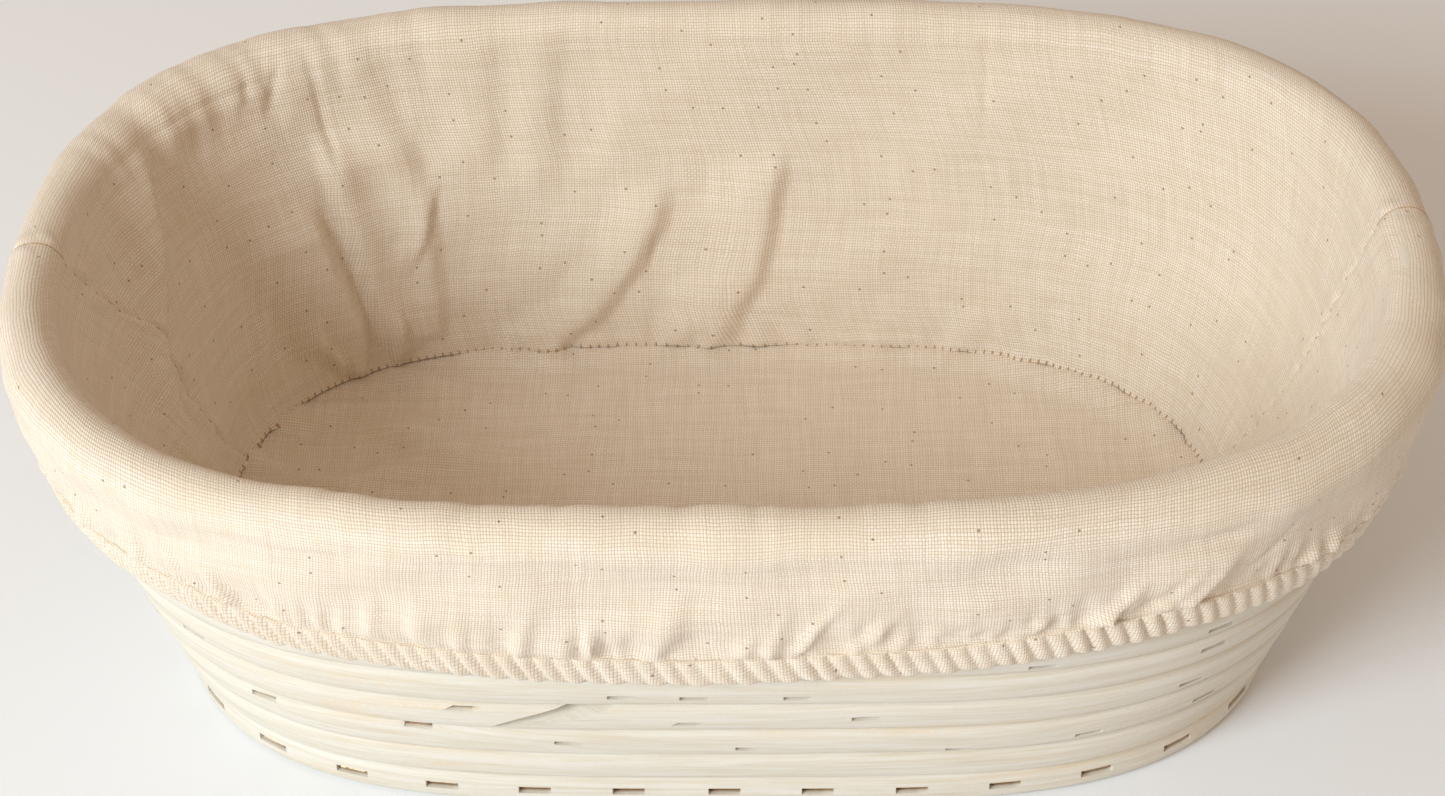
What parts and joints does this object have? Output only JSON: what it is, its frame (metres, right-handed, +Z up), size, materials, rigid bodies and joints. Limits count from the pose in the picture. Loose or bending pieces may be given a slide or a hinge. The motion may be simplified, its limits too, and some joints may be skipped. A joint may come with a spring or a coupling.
{
  "type": "banneton basket",
  "caption": "Oval proving basket of coiled cane with flared sides and a removable cloth liner, gathered by an elastic hem, for shaping bread dough.",
  "frame": {"origin": "centre of the underside of the base, on the surface that the basket stands on", "axes": "+X along the basket's long axis, +Z up, -Y the front, where the wall's scarf joint shows below the hem"},
  "size_m": [0.25, 0.1552, 0.0803],
  "materials": {
    "cane": "bleached, split and sanded rattan core, unvarnished",
    "staple_steel": "dull, slightly tarnished",
    "liner_cloth": "unbleached plain weave cotton and linen",
    "thread": "matt sewing thread",
    "elastic": "flat braided elastic"
  },
  "bodies": {
    "basket": {"base_cane": "cane", "core_cane": "cane", "staple_01": "staple_steel", "staple_02": "staple_steel", "staple_03": "staple_steel", "staple_04": "staple_steel", "staple_05": "staple_steel", "staple_06": "staple_steel", "staple_07": "staple_steel", "staple_08": "staple_steel", "staple_09": "staple_steel", "staple_10": "staple_steel", "staple_11": "staple_steel", "staple_12": "staple_steel", "staple_13": "staple_steel", "staple_14": "staple_steel", "staple_15": "staple_steel", "staple_16": "staple_steel", "staple_17": "staple_steel", "staple_18": "staple_steel", "staple_19": "staple_steel", "staple_20": "staple_steel", "staple_21": "staple_steel", "staple_22": "staple_steel", "staple_23": "staple_steel", "staple_24": "staple_steel", "staple_25": "staple_steel", "staple_26": "staple_steel", "staple_27": "staple_steel", "staple_28": "staple_steel", "staple_29": "staple_steel", "staple_30": "staple_steel", "staple_31": "staple_steel", "staple_32": "staple_steel", "staple_33": "staple_steel", "staple_34": "staple_steel", "wall_cane_1": "cane", "wall_cane_2": "cane", "wall_cane_3": "cane"},
    "liner": {"floor_panel": "liner_cloth", "floor_seam_thread": "thread", "front_panel": "liner_cloth", "hem_casing": "liner_cloth", "hem_elastic": "elastic", "hem_thread": "thread", "left_seam_thread": "thread", "rear_panel": "liner_cloth", "right_seam_thread": "thread"}
  },
  "joints": [
    {"name": "liner_lift", "type": "slide", "parent": "basket", "child": "liner", "axis": [0, 0, 1], "range_m": [0, 0.12], "deforming": ["front_panel", "rear_panel", "hem_casing", "hem_elastic", "hem_thread", "left_seam_thread", "right_seam_thread"]}
  ]
}
